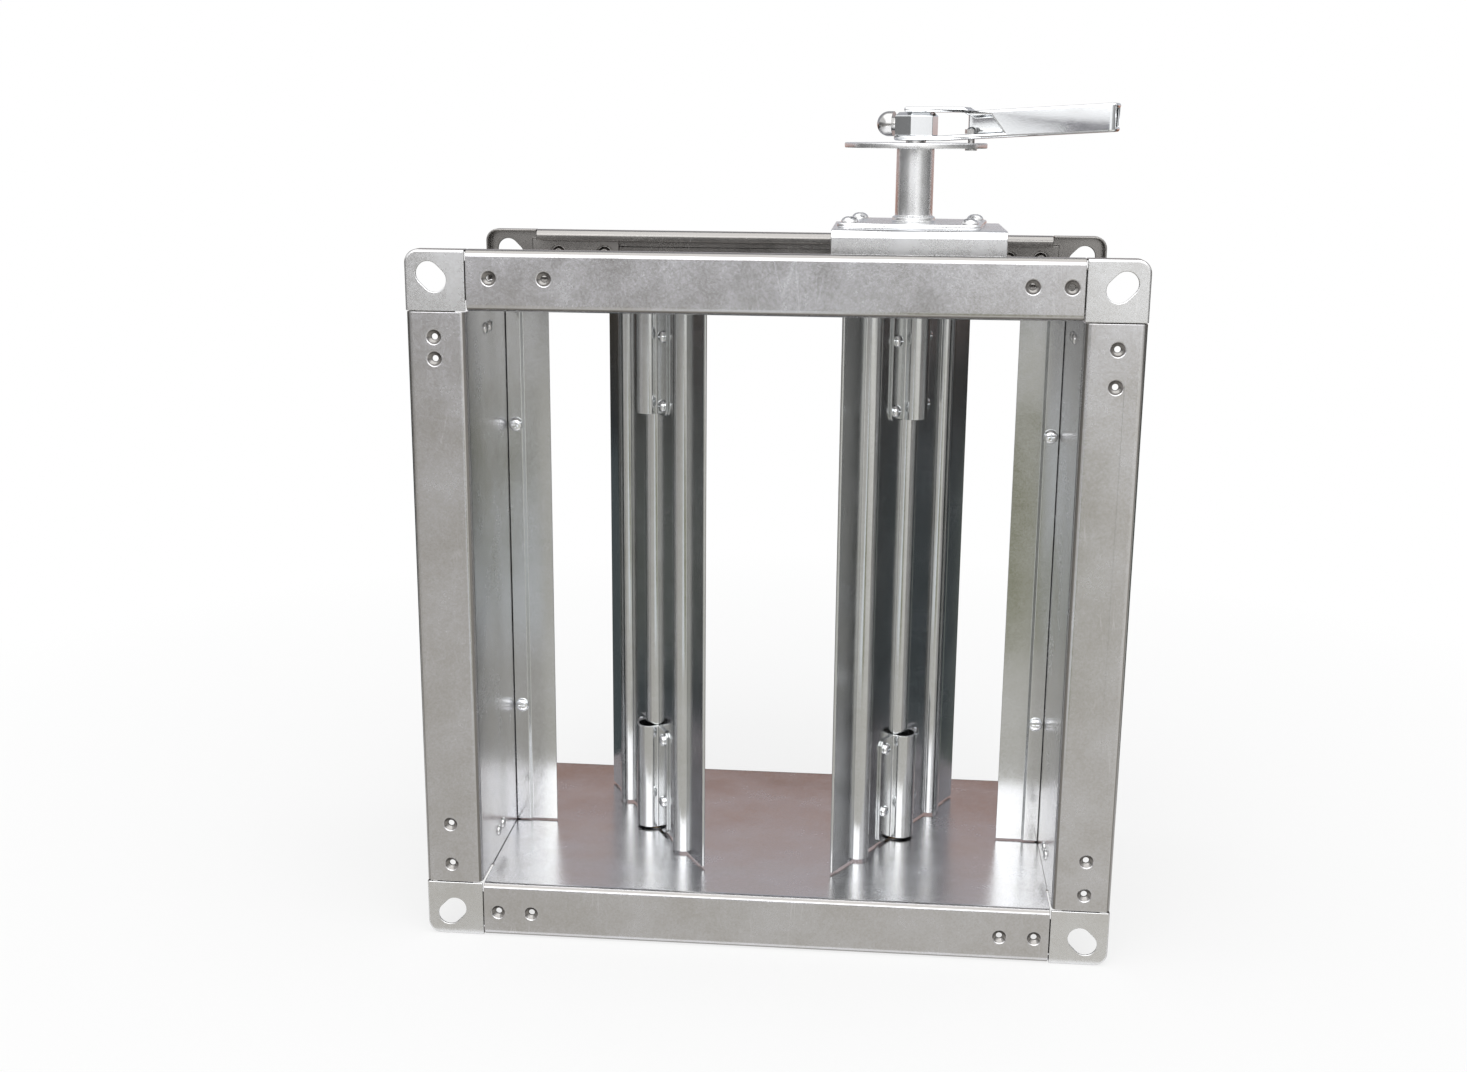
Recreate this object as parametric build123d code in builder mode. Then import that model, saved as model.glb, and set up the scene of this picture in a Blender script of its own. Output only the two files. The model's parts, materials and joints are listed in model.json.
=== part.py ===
from build123d import *
from math import cos, pi, radians, sin, tan
import os

# Opposed blade damper for a near-square duct: a flanged frame of folded sheet, two ribbed blades on
# upright shafts, a sliding link that turns them against each other, and a locking hand lever.
# The origin is at the bottom centre of the frame, +X to the right, +Y along the air flow, +Z up.
# The part is drawn with the blades 60 degrees short of closed.

os.makedirs("parts", exist_ok=True)

# Frame
duct_width = 350.0
duct_height = 355.0
frame_depth = 210.0
flange_height = 35.0
panel_sheet = 1.2
fold_radius = 4.0
lip_depth = 12.0
lip_hem = 7.0
seam_gap = 1.2
sheet_slip = 0.1

# Tabs that tie the top and bottom panels to the sides
tab_height = 30.0
tab_length = 150.0
tab_rivet_drop = 15.0
tab_rivet_places = (-57.0, -45.0, 45.0, 57.0)

# Corner pieces
corner_sheet = 1.5
corner_lip = 9.0
corner_radius = 8.0
corner_edge_radius = 1.6
arm_length = 56.0
arm_margin = 2.5
arm_root = 4.0
bolt_slot_width = 14.0
bolt_slot_length = 19.0
bolt_edge = 15.5

# Crimps that hold the corner arms: distances from the two ends of each rail
crimp_radius = 4.4
crimp_tip_radius = 2.0
crimp_depth = 2.8
crimp_pierce_radius = 1.8
crimp_wall = 0.8
crimp_height = 19.0
crimp_clearance = 0.3
crimps = {
    "top": ((13.4, 45.2), (7.2, 28.7)),
    "bottom": ((8.9, 29.8), (8.9, 29.8)),
    "left": ((11.6, 38.1), (14.4, 27.0)),
    "right": ((14.3, 35.5), (10.4, 32.3)),
}

# Blades
blade_wall_gap = 15.0
blade_meeting_gap = 0.5
blade_sheet = 1.0
blade_end_gap = 1.5
blade_hem = 8.0
blade_foot_radius = 0.8
blade_edge_radius = 0.9
rib_spacing = 47.0
swing_open = 30.0
swing_closed = -60.0

# Shafts and bushes
shaft_radius = 6.0
shaft_seat = 0.1
running_clearance = 0.05
grip_clearance = 0.02
bush_wall = 2.0
bush_flange_radius = 11.0
bush_flange_thickness = 2.5
shaft_tail = 7.0
clip_radius = 9.5
clip_thickness = 1.4
clip_gap = 0.3

# Straps that clamp the shafts to the blades
strap_sheet = 1.5
strap_length = 71.5
strap_half_width = 24.0
strap_arch_gap = 0.4
strap_arch_lift = 3.2
strap_bend_radius = 1.0
strap_bend_zone = 2.25
strap_corner_radius = 5.0
strap_screw_side = 18.5
strap_screw_low = 6.5
strap_screw_high = 50.0
shaft_inset = 3.0
screw_radius = 2.5
screw_head_radius = 4.0
screw_crown_radius = 2.2
screw_head_height = 2.8
screw_tip = 2.0
screw_hole_clearance = 0.2
nut_flats = 8.0
nut_height = 4.0

# Side stops
stop_reach = 27.5
stop_sheet = 1.2
stop_clearance = 0.5
stop_end_gap = 1.0
stop_wall_gap = 0.4
stop_crease_out = 11.0
stop_crease_in = 9.2
angle_sheet = 1.5
angle_leg = 8.5
angle_wall_leg = 22.0
angle_bend_radius = 0.8
stop_screw_rise = 95.0
stop_screw_in = 5.4
stop_screw_radius = 2.0
stop_screw_head_radius = 4.6
stop_screw_crown_radius = 2.4
stop_screw_head_height = 2.8
stop_screw_tip = 3.0
stop_rivet_places = (-120.0, 0.0, 120.0)
stop_rivet_back = 10.0

# Rivets
rivet_radius = 2.0
rivet_hole_clearance = 0.1
rivet_head_radius = 3.6
rivet_crown_radius = 1.8
rivet_head_height = 1.8
rivet_tail_radius = 2.9
rivet_tail_height = 0.8
plate_rivet_head = (5.2, 3.0, 3.4)

# Link that slides across the top of the frame
crank_radius = 25.0
crank_hub_radius = 10.5
crank_eye_radius = 7.0
crank_thickness = 4.0
crank_arm_gap = 0.6
crank_hub_height = 12.0
crank_gap = 0.4
pin_radius = 3.0
pin_head_radius = 4.5
pin_head_height = 1.8
pin_end_gap = 0.7
bar_thickness = 3.0
bar_gap = 0.4
bar_width = 16.0
bar_riser_width = 14.0
bar_edge = 6.0
bar_slot_clearance = 0.9
bar_clearance = 1.0
bar_corner_radius = 3.0
bar_travel_share = 0.92
guide_half_length = 14.0
guide_sheet = 2.0
guide_foot = 14.0
guide_slip = 0.3

# Bridge bracket and standoff under the hand lever
bracket_half_length = 51.7
bracket_shift = 3.0
bracket_half_depth = 45.0
bracket_rise = 44.5
bracket_foot = 14.0
bracket_bend_radius = 3.0
bracket_rivet_side = 40.0
standoff_turn = -6.0
standoff_plate_length = 86.0
standoff_plate_width = 70.0
standoff_plate_thickness = 3.0
standoff_plate_radius = 6.0
standoff_rivet_x = 36.0
standoff_rivet_y = 26.0
standoff_collar_radius = 13.0
standoff_collar_height = 3.0
standoff_radius = 11.4
standoff_height = 43.7
standoff_bush_length = 14.0

# Quadrant and hand lever
quadrant_radius = 43.0
quadrant_thickness = 3.0
quadrant_bore_clearance = 0.5
quadrant_slot_margin = 5.0
lever_angle = -15.0
lever_gap = 1.3
lever_sheet = 3.0
lever_length = 120.5
lever_grip_height = 16.3
lever_half_width = 10.0
lever_tilt = 3.4
lever_bend_place = 16.0
lever_tongue_radius = 13.5
lever_top_start = -5.0
lever_top_step = 31.0
lever_step_run = 3.5
lever_far_wall_start = 30.0
lever_near_wall_start = 45.0
lever_near_wall_slant = 12.0
lever_end_radius = 5.0
hub_flats = 23.5
hub_height = 13.7
hub_chamfer = 2.2
clamp_screw_radius = 4.0
clamp_head_radius = 7.4
clamp_head_rim = 3.0
clamp_head_gap = 0.5
lock_place = 34.0
lock_radius = 2.0
lock_clearance = 0.4
lock_head_radius = 3.6
lock_head_height = 0.9
lock_head_gap = 0.3
lock_nut_flats = 7.0
lock_nut_height = 2.6
lock_dome_radius = 3.2

# Places worked out from the sizes above
half_width = duct_width / 2
half_height = duct_height / 2
half_depth = frame_depth / 2
blade_offset = (half_width - blade_wall_gap) / 2
blade_half_width = blade_offset - blade_meeting_gap
floor_z = flange_height
ceiling_z = flange_height + duct_height
middle_z = flange_height + half_height
web_top = ceiling_z + panel_sheet
web_bottom = floor_z - panel_sheet
blade_low = floor_z + blade_end_gap
blade_high = ceiling_z - blade_end_gap
blade_turn = -swing_closed
dish_radius = (crimp_radius**2 + crimp_depth**2) / (2 * crimp_depth)
rib_inner = shaft_radius + shaft_seat
rib_outer = rib_inner + blade_sheet
bush_bore = shaft_radius + running_clearance
bush_radius = bush_bore + bush_wall
rivet_hole = rivet_radius + rivet_hole_clearance
screw_hole = screw_radius + screw_hole_clearance
swing_middle = (swing_open + swing_closed) / 2
bar_ratio = bar_travel_share * crank_radius
bar_rest = bar_ratio * radians(swing_middle)
bar_to_closed = -bar_ratio * radians(swing_closed)
bar_to_open = bar_ratio * radians(swing_open)
bar_z = web_top + bar_gap
bush_flange_top = web_top + bush_flange_thickness
crank_z = bush_flange_top + crank_gap
crank_arm_z = bar_z + bar_thickness + crank_arm_gap
bracket_top = web_top + bracket_rise
standoff_z = bracket_top
standoff_tube_z = standoff_z + standoff_plate_thickness
quadrant_z = standoff_tube_z + standoff_height
lever_z = quadrant_z + quadrant_thickness + lever_gap
hub_z = lever_z + lever_sheet
hub_top = hub_z + hub_height
lever_top_z = lever_sheet + hub_height
bottom_middle = (Align.CENTER, Align.CENTER, Align.MIN)


def flat_direction(degrees):
    """Level direction at an angle from +X."""
    return (cos(radians(degrees)), sin(radians(degrees)), 0)


class Wall:
    """One side of the duct: its inside middle, the way its rails run, and the way outward."""

    def __init__(self, name, origin, along, outward, half_run):
        self.name = name
        self.half_run = half_run - seam_gap / 2
        self.section = Plane(origin=origin, x_dir=(0, 1, 0), z_dir=along)
        self.web = Plane(origin=origin, x_dir=along, z_dir=outward)
        self.cross = Plane(origin=origin, x_dir=along, z_dir=(0, -1, 0))

    def crimp_planes(self):
        """Planes on the front and rear rails, facing into the frame, one at each crimp."""
        planes = []
        for end, distances in zip((-1, 1), crimps[self.name]):
            for distance in distances:
                for face in (-1, 1):
                    place = (end * (self.half_run - distance), face * half_depth, crimp_height)
                    planes.append(Plane(origin=self.web.from_local_coords(place), z_dir=(0, -face, 0)))
        return planes


top_wall = Wall("top", (0, 0, ceiling_z), (1, 0, 0), (0, 0, 1), half_width)
bottom_wall = Wall("bottom", (0, 0, floor_z), (-1, 0, 0), (0, 0, -1), half_width)
left_wall = Wall("left", (-half_width, 0, middle_z), (0, 0, 1), (-1, 0, 0), half_height)
right_wall = Wall("right", (half_width, 0, middle_z), (0, 0, -1), (1, 0, 0), half_height)


def make_panel(wall, holes, has_tabs):
    """One wall of the frame, folded from one sheet: hem, lip and face, web, then the same again."""
    rear_skin = (
        (half_depth, 0),
        (half_depth, flange_height),
        (half_depth - lip_depth, flange_height),
        (half_depth - lip_depth, flange_height - lip_hem),
    )
    front_skin = [(-depth, height) for depth, height in reversed(rear_skin)]
    with BuildPart() as panel:
        with BuildSketch(wall.section):
            with BuildLine():
                FilletPolyline(*front_skin, *rear_skin, radius=fold_radius)
                offset(amount=panel_sheet, side=Side.LEFT)
            make_face()
        extrude(amount=wall.half_run, both=True)
        if has_tabs:
            tab_skin = half_width + panel_sheet + sheet_slip
            with BuildSketch(wall.cross):
                with BuildLine():
                    Polyline((wall.half_run - panel_sheet, 0), (tab_skin, 0), (tab_skin, -tab_height))
                    offset(amount=panel_sheet, side=Side.LEFT)
                make_face()
                mirror(about=Plane.YZ)
            extrude(amount=tab_length / 2, both=True)
            for end in (-1, 1):
                rivet_face = Plane(
                    origin=wall.web.from_local_coords((end * half_width, 0, 0)),
                    x_dir=(0, 1, 0),
                    z_dir=wall.web.x_dir,
                )
                drop = -tab_rivet_drop * rivet_face.y_dir.dot(wall.web.z_dir)
                with BuildSketch(rivet_face):
                    with Locations(*[(place, drop) for place in tab_rivet_places]):
                        Circle(rivet_hole)
                extrude(amount=tab_height, both=True, mode=Mode.SUBTRACT)
        with BuildSketch(wall.web):
            for along, depth, radius in holes:
                with Locations((along, depth)):
                    Circle(radius)
        extrude(amount=flange_height / 2, mode=Mode.SUBTRACT)
        cup_planes = wall.crimp_planes()
        with Locations(*cup_planes):
            Cone(
                crimp_radius + crimp_wall,
                crimp_tip_radius + crimp_wall,
                crimp_depth + crimp_wall,
                align=bottom_middle,
            )
        with Locations(*[plane.offset(crimp_depth - dish_radius) for plane in cup_planes]):
            Sphere(dish_radius, mode=Mode.SUBTRACT)
        with Locations(*cup_planes):
            Cylinder(
                crimp_pierce_radius,
                crimp_depth + crimp_wall,
                align=bottom_middle,
                mode=Mode.SUBTRACT,
            )
    return panel


bush_holes = [(side * blade_offset, 0, bush_radius + grip_clearance) for side in (-1, 1)]
guide_rivet_side = bar_width / 2 + guide_slip + guide_sheet + guide_foot / 2
web_rivet_places = [(0, side * guide_rivet_side) for side in (-1, 1)]
for side_x in (-1, 1):
    for side_y in (-1, 1):
        web_rivet_places.append(
            (
                blade_offset + side_x * bracket_rivet_side,
                side_y * (bracket_half_depth + guide_sheet + bracket_foot / 2),
            )
        )
web_rivet_holes = [(x, y, rivet_hole) for x, y in web_rivet_places]
side_rivet_holes = []
for end in (-1, 1):
    for place in tab_rivet_places:
        side_rivet_holes.append((end * (half_height - tab_rivet_drop), place, rivet_hole))
for place in stop_rivet_places:
    side_rivet_holes.append((place, stop_rivet_back, rivet_hole))

top_panel = make_panel(top_wall, bush_holes + web_rivet_holes, True)
top_panel.part.label = "top_panel"
export_step(top_panel.part, "parts/top_panel.step")

bottom_panel = make_panel(bottom_wall, bush_holes, True)
bottom_panel.part.label = "bottom_panel"
export_step(bottom_panel.part, "parts/bottom_panel.step")

left_panel = make_panel(left_wall, side_rivet_holes, False)
left_panel.part.label = "left_panel"
export_step(left_panel.part, "parts/left_panel.step")

right_panel = make_panel(right_wall, side_rivet_holes, False)
right_panel.part.label = "right_panel"
export_step(right_panel.part, "parts/right_panel.step")


def corner_outline(size, radius):
    """Square corner plate with its outer corner rounded."""
    with BuildSketch() as outline:
        Rectangle(size, size, align=(Align.MIN, Align.MIN))
        fillet(outline.vertices().sort_by_distance((0, 0))[-1], radius)
    return outline.sketch


def make_corner(side_x, side_z, face):
    """Pressed corner: a lipped plate with a bolt slot, and two arms that lie behind the rails."""
    inward = side_x * side_z * face
    plane = Plane(
        origin=(side_x * half_width, face * half_depth, middle_z + side_z * half_height),
        x_dir=(side_x, 0, 0),
        z_dir=(0, -side_x * side_z, 0),
    )
    arm_step = panel_sheet + sheet_slip
    arm_start = fold_radius + arm_margin
    arm_width = flange_height - 2 * arm_start
    level_end = crimps["top"][(side_x + 1) // 2] if side_z > 0 else crimps["bottom"][(1 - side_x) // 2]
    upright_end = crimps["right"][(1 - side_z) // 2] if side_x > 0 else crimps["left"][(side_z + 1) // 2]
    level_holes = [(-seam_gap / 2 - distance, crimp_height) for distance in level_end]
    upright_holes = [(crimp_height, -seam_gap / 2 - distance) for distance in upright_end]
    with BuildPart() as corner:
        with BuildSketch(plane):
            add(corner_outline(flange_height, corner_radius))
        extrude(amount=inward * corner_lip)
        outer_edges = corner.faces().sort_by(Axis.Y)[0 if face < 0 else -1].edges()
        inner_corner = plane.origin
        rim = outer_edges.sort_by_distance(inner_corner)[2:]
        fillet(rim, corner_edge_radius)
        with BuildSketch(plane.offset(inward * corner_sheet)):
            add(corner_outline(flange_height - corner_sheet, corner_radius - corner_sheet))
        extrude(amount=inward * corner_lip, mode=Mode.SUBTRACT)
        with BuildSketch(plane):
            with Locations((0, arm_start)):
                Rectangle(arm_root, arm_width, align=(Align.MIN, Align.MIN))
            with Locations((arm_start, 0)):
                Rectangle(arm_width, arm_root, align=(Align.MIN, Align.MIN))
        extrude(amount=inward * (arm_step + corner_sheet))
        with BuildSketch(plane.offset(inward * arm_step)):
            with Locations((arm_root, arm_start)):
                Rectangle(arm_length + arm_root, arm_width, align=(Align.MAX, Align.MIN))
            with Locations((arm_start, arm_root)):
                Rectangle(arm_width, arm_length + arm_root, align=(Align.MIN, Align.MAX))
            with Locations(*level_holes, *upright_holes):
                Circle(crimp_radius + crimp_wall + crimp_clearance, mode=Mode.SUBTRACT)
        extrude(amount=inward * corner_sheet)
        with BuildSketch(plane):
            with Locations((flange_height - bolt_edge, flange_height - bolt_edge)):
                SlotOverall(bolt_slot_length, bolt_slot_width, rotation=45)
        extrude(amount=inward * corner_lip, mode=Mode.SUBTRACT)
    return corner


for face_name, face in (("front", -1), ("rear", 1)):
    for height_name, side_z in (("top", 1), ("bottom", -1)):
        for side_name, side_x in (("left", -1), ("right", 1)):
            corner = make_corner(side_x, side_z, face)
            corner.part.label = f"{face_name}_corner_{height_name}_{side_name}"
            export_step(corner.part, f"parts/{corner.part.label}.step")


def make_rivets(planes, grip, head=(rivet_head_radius, rivet_crown_radius, rivet_head_height)):
    """Rivets with their heads above each plane and their set ends below the sheets that they hold."""
    with BuildPart() as rivets:
        with Locations(*planes):
            Cylinder(rivet_radius, grip, align=(Align.CENTER, Align.CENTER, Align.MAX))
            Cone(*head, align=bottom_middle)
        with Locations(*[plane.offset(-grip) for plane in planes]):
            Cylinder(rivet_tail_radius, rivet_tail_height, align=(Align.CENTER, Align.CENTER, Align.MAX))
    return rivets


tab_rivet_planes = []
for side_x in (-1, 1):
    for side_z in (-1, 1):
        for place in tab_rivet_places:
            tab_rivet_planes.append(
                Plane(
                    origin=(side_x * half_width, place, middle_z + side_z * (half_height - tab_rivet_drop)),
                    z_dir=(-side_x, 0, 0),
                )
            )
corner_rivets = make_rivets(tab_rivet_planes, 2 * panel_sheet + sheet_slip)
corner_rivets.part.label = "corner_rivets"
export_step(corner_rivets.part, "parts/corner_rivets.step")

# Side stops: a joggled strip in front of an angle that is riveted to the wall
stop_leg_y = -blade_sheet - stop_clearance
stop_band_y = stop_leg_y - angle_sheet
stop_low = floor_z + stop_end_gap
stop_run = duct_height - 2 * stop_end_gap
stop_screw_heights = (middle_z - stop_screw_rise, middle_z + stop_screw_rise)


def make_stop_strip(side):
    """Strip that the outer edge of a blade closes against."""
    back_skin = (
        (side * (half_width - stop_reach), stop_leg_y),
        (side * (half_width - stop_crease_out), stop_leg_y),
        (side * (half_width - stop_crease_in), stop_band_y),
        (side * (half_width - stop_wall_gap), stop_band_y),
    )
    front_skin = [(x, y - stop_sheet) for x, y in reversed(back_skin)]
    with BuildPart() as strip:
        with BuildSketch(Plane.XY.offset(stop_low)):
            with BuildLine():
                Polyline(*back_skin, *front_skin, close=True)
            make_face()
        extrude(amount=stop_run)
        with BuildSketch(Plane.XZ):
            with Locations(*[(side * (half_width - stop_screw_in), z) for z in stop_screw_heights]):
                Circle(stop_screw_radius + screw_hole_clearance)
        extrude(amount=stop_reach, both=True, mode=Mode.SUBTRACT)
    return strip


def make_stop_angle(side):
    """Angle that carries a stop strip."""
    wall_side = Align.MAX if side > 0 else Align.MIN
    with BuildPart() as angle:
        with BuildSketch(Plane.XY.offset(stop_low)) as section:
            with Locations((side * half_width, stop_band_y)):
                Rectangle(angle_leg, angle_sheet, align=(wall_side, Align.MIN))
                Rectangle(angle_sheet, angle_wall_leg, align=(wall_side, Align.MIN))
            bend = section.vertices().sort_by_distance((side * half_width, stop_band_y))
            fillet(bend[0], angle_bend_radius + angle_sheet)
            inside = (side * (half_width - angle_sheet), stop_band_y + angle_sheet)
            fillet(section.vertices().sort_by_distance(inside)[0], angle_bend_radius)
        extrude(amount=stop_run)
        with BuildSketch(Plane.XZ):
            with Locations(*[(side * (half_width - stop_screw_in), z) for z in stop_screw_heights]):
                Circle(stop_screw_radius + grip_clearance)
        extrude(amount=-stop_band_y, mode=Mode.SUBTRACT)
        with BuildSketch(Plane.YZ):
            with Locations(*[(stop_rivet_back, middle_z + place) for place in stop_rivet_places]):
                Circle(rivet_hole)
        extrude(amount=side * duct_width, mode=Mode.SUBTRACT)
    return angle


for side_name, side in (("left", -1), ("right", 1)):
    strip = make_stop_strip(side)
    strip.part.label = f"{side_name}_stop_strip"
    export_step(strip.part, f"parts/{strip.part.label}.step")
    angle = make_stop_angle(side)
    angle.part.label = f"{side_name}_stop_angle"
    export_step(angle.part, f"parts/{angle.part.label}.step")

stop_screw_planes = []
stop_rivet_planes = []
for side in (-1, 1):
    for z in stop_screw_heights:
        origin = (side * (half_width - stop_screw_in), stop_band_y - stop_sheet, z)
        stop_screw_planes.append(Plane(origin=origin, z_dir=(0, -1, 0)))
    for place in stop_rivet_places:
        origin = (side * (half_width - angle_sheet), stop_rivet_back, middle_z + place)
        stop_rivet_planes.append(Plane(origin=origin, z_dir=(-side, 0, 0)))

with BuildPart() as stop_screws:
    with Locations(*stop_screw_planes):
        Cylinder(
            stop_screw_radius,
            stop_sheet + angle_sheet + stop_screw_tip,
            align=(Align.CENTER, Align.CENTER, Align.MAX),
        )
        Cone(
            stop_screw_head_radius,
            stop_screw_crown_radius,
            stop_screw_head_height,
            align=bottom_middle,
        )
stop_screws.part.label = "stop_screws"
export_step(stop_screws.part, "parts/stop_screws.step")

stop_rivets = make_rivets(stop_rivet_planes, angle_sheet + panel_sheet)
stop_rivets.part.label = "stop_rivets"
export_step(stop_rivets.part, "parts/stop_rivets.step")


def make_bush(side, up):
    """Flanged bush in the top or bottom panel, with its flange outside the duct."""
    face_z = ceiling_z if up > 0 else floor_z
    with BuildPart(Plane(origin=(side * blade_offset, 0, face_z), z_dir=(0, 0, up))) as bush:
        Cylinder(bush_radius, panel_sheet + bush_flange_thickness, align=bottom_middle)
        with Locations((0, 0, panel_sheet)):
            Cylinder(bush_flange_radius, bush_flange_thickness, align=bottom_middle)
        Cylinder(bush_bore, panel_sheet + bush_flange_thickness, align=bottom_middle, mode=Mode.SUBTRACT)
    return bush


# Blades, their shafts and what clamps them, once for each side
class Blade:
    """Where one blade stands: the way its width runs, and planes across it and on its front."""

    def __init__(self, side):
        self.side = side
        self.x = side * blade_offset
        self.turn = side * blade_turn
        self.along = flat_direction(self.turn)
        self.front = Plane(
            origin=(self.x, 0, middle_z), x_dir=self.along, z_dir=flat_direction(self.turn - 90)
        )
        self.crank_angle = side * (90 - swing_middle)

    def level(self, z):
        return Plane(origin=(self.x, 0, z), x_dir=self.along, z_dir=(0, 0, 1))


strap_screw_heights = []
for end in (-1, 1):
    for from_strap_end in (strap_screw_low, strap_screw_high):
        strap_screw_heights.append(end * (half_height - blade_end_gap - strap_length + from_strap_end))
strap_screw_places = [
    (side * strap_screw_side, height) for side in (-1, 1) for height in strap_screw_heights
]


def make_blade(blade):
    """Sheet blade with three half-round ribs towards the front and hems folded to the back."""
    with BuildPart() as sheet:
        with BuildSketch(blade.level(blade_low)) as section:
            Rectangle(2 * blade_half_width, blade_sheet, align=(Align.CENTER, Align.MAX))
            with GridLocations(rib_spacing, 0, 3, 1):
                Circle(rib_outer)
            with GridLocations(rib_spacing, 0, 3, 1):
                Circle(rib_inner, mode=Mode.SUBTRACT)
            Rectangle(
                2 * blade_half_width, 2 * rib_outer, align=(Align.CENTER, Align.MIN), mode=Mode.SUBTRACT
            )
            feet = section.vertices().filter_by(lambda v: abs(v.X) < blade_half_width - blade_sheet)
            fillet(feet, blade_foot_radius)
            with GridLocations(2 * blade_half_width - blade_hem, 0, 2, 1):
                Rectangle(blade_hem, blade_sheet, align=(Align.CENTER, Align.MIN))
            edges = section.vertices().filter_by(lambda v: abs(v.X) > blade_half_width - blade_sheet)
            fillet(edges.filter_by(lambda v: abs(v.Y) > blade_sheet / 2), blade_edge_radius)
        extrude(amount=blade_high - blade_low)
        with BuildSketch(blade.front):
            with Locations(*strap_screw_places):
                Circle(screw_hole)
        extrude(amount=2 * blade_sheet, both=True, mode=Mode.SUBTRACT)
    return sheet


def make_strap(blade, end, inner_radius, lift, face, toward):
    """Hat-shaped strap on the blade: lift raises its arch, toward is -1 on the front and 1 on the back."""
    start_z = blade_high - strap_length if end > 0 else blade_low
    strap_middle = end * (half_height - blade_end_gap - strap_length / 2)
    flange_side = Align.MIN if toward > 0 else Align.MAX
    cut_side = Align.MAX if toward > 0 else Align.MIN
    with BuildPart() as strap:
        with BuildSketch(blade.level(start_z)) as section:
            with Locations((0, face)):
                Rectangle(2 * strap_half_width, strap_sheet, align=(Align.CENTER, flange_side))
            for radius, mode in ((inner_radius + strap_sheet, Mode.ADD), (inner_radius, Mode.SUBTRACT)):
                with Locations((0, face + toward * lift)):
                    Circle(radius, mode=mode)
                if lift > 0:
                    with Locations((0, face)):
                        Rectangle(2 * radius, lift, align=(Align.CENTER, flange_side), mode=mode)
            with Locations((0, face)):
                Rectangle(
                    2 * strap_half_width,
                    2 * strap_half_width,
                    align=(Align.CENTER, cut_side),
                    mode=Mode.SUBTRACT,
                )
            inner = section.vertices().filter_by(lambda v: abs(v.X) < strap_half_width - strap_sheet)
            fillet(inner.filter_by(lambda v: abs(v.Y - face) < strap_bend_zone), strap_bend_radius)
        extrude(amount=strap_length)
        with BuildSketch(blade.front):
            with Locations((0, strap_middle)):
                RectangleRounded(2 * strap_half_width, strap_length, strap_corner_radius)
            with Locations(*strap_screw_places):
                Circle(screw_hole, mode=Mode.SUBTRACT)
        extrude(amount=strap_half_width, both=True, mode=Mode.INTERSECT)
    return strap


def make_strap_screws(blade):
    """Pan head screws put in from the front."""
    head_face = blade_sheet + strap_sheet
    grip = 2 * strap_sheet + blade_sheet + nut_height + screw_tip
    with BuildPart(blade.front) as screws:
        with Locations(*[(u, height, head_face) for u, height in strap_screw_places]):
            Cylinder(screw_radius, grip, align=(Align.CENTER, Align.CENTER, Align.MAX))
            Cone(screw_head_radius, screw_crown_radius, screw_head_height, align=bottom_middle)
    return screws


def make_strap_nuts(blade):
    """Hexagon nuts on the back straps."""
    with BuildPart() as nuts:
        with BuildSketch(blade.front.offset(-strap_sheet)):
            with Locations(*strap_screw_places):
                RegularPolygon(nut_flats / 2, 6, major_radius=False)
                Circle(screw_radius + grip_clearance, mode=Mode.SUBTRACT)
        extrude(amount=-nut_height)
    return nuts


def make_shaft(x, low, high):
    """Round shaft on a blade's axis."""
    with BuildPart(Plane(origin=(x, 0, low))) as shaft:
        Cylinder(shaft_radius, high - low, align=bottom_middle)
    return shaft


def make_crank(blade):
    """Arm on the upper shaft whose pin moves the link bar."""
    with BuildPart(Plane(origin=(blade.x, 0, crank_z), x_dir=flat_direction(blade.crank_angle))) as crank:
        Cylinder(crank_hub_radius, crank_hub_height, align=bottom_middle)
        with BuildSketch(crank.workplanes[0].offset(crank_arm_z - crank_z)):
            Circle(crank_hub_radius)
            with Locations((crank_radius, 0)):
                Circle(crank_eye_radius)
            make_hull()
        extrude(amount=crank_thickness)
        Cylinder(
            shaft_radius + grip_clearance, crank_hub_height, align=bottom_middle, mode=Mode.SUBTRACT
        )
        with Locations((crank_radius, 0, 0)):
            Cylinder(pin_radius + grip_clearance, crank_hub_height, align=bottom_middle, mode=Mode.SUBTRACT)
    return crank


def make_crank_pin(blade):
    """Headed pin that hangs from a crank arm into the slot of the link bar."""
    low = web_top + pin_end_gap
    arm_top = crank_arm_z + crank_thickness
    with BuildPart(Plane(origin=(blade.x, 0, low), x_dir=flat_direction(blade.crank_angle))) as pin:
        with Locations((crank_radius, 0, 0)):
            Cylinder(pin_radius, arm_top - low, align=bottom_middle)
        with Locations((crank_radius, 0, arm_top - low)):
            Cylinder(pin_head_radius, pin_head_height, align=bottom_middle)
    return pin


def make_clip(x):
    """Ring that keeps a lower shaft from lifting out of its bush."""
    high = web_bottom - bush_flange_thickness - clip_gap
    with BuildPart(Plane(origin=(x, 0, high))) as clip:
        Cylinder(clip_radius, clip_thickness, align=(Align.CENTER, Align.CENTER, Align.MAX))
        Cylinder(
            shaft_radius + grip_clearance,
            clip_thickness,
            align=(Align.CENTER, Align.CENTER, Align.MAX),
            mode=Mode.SUBTRACT,
        )
    return clip


crank_top = crank_z + crank_hub_height
shaft_tops = {"left": crank_top, "right": hub_top - hub_chamfer}
strap_inner_low = blade_low + strap_length - shaft_inset
strap_inner_high = blade_high - strap_length + shaft_inset
shaft_foot = web_bottom - bush_flange_thickness - shaft_tail
front_arch = rib_outer + strap_arch_gap

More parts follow.
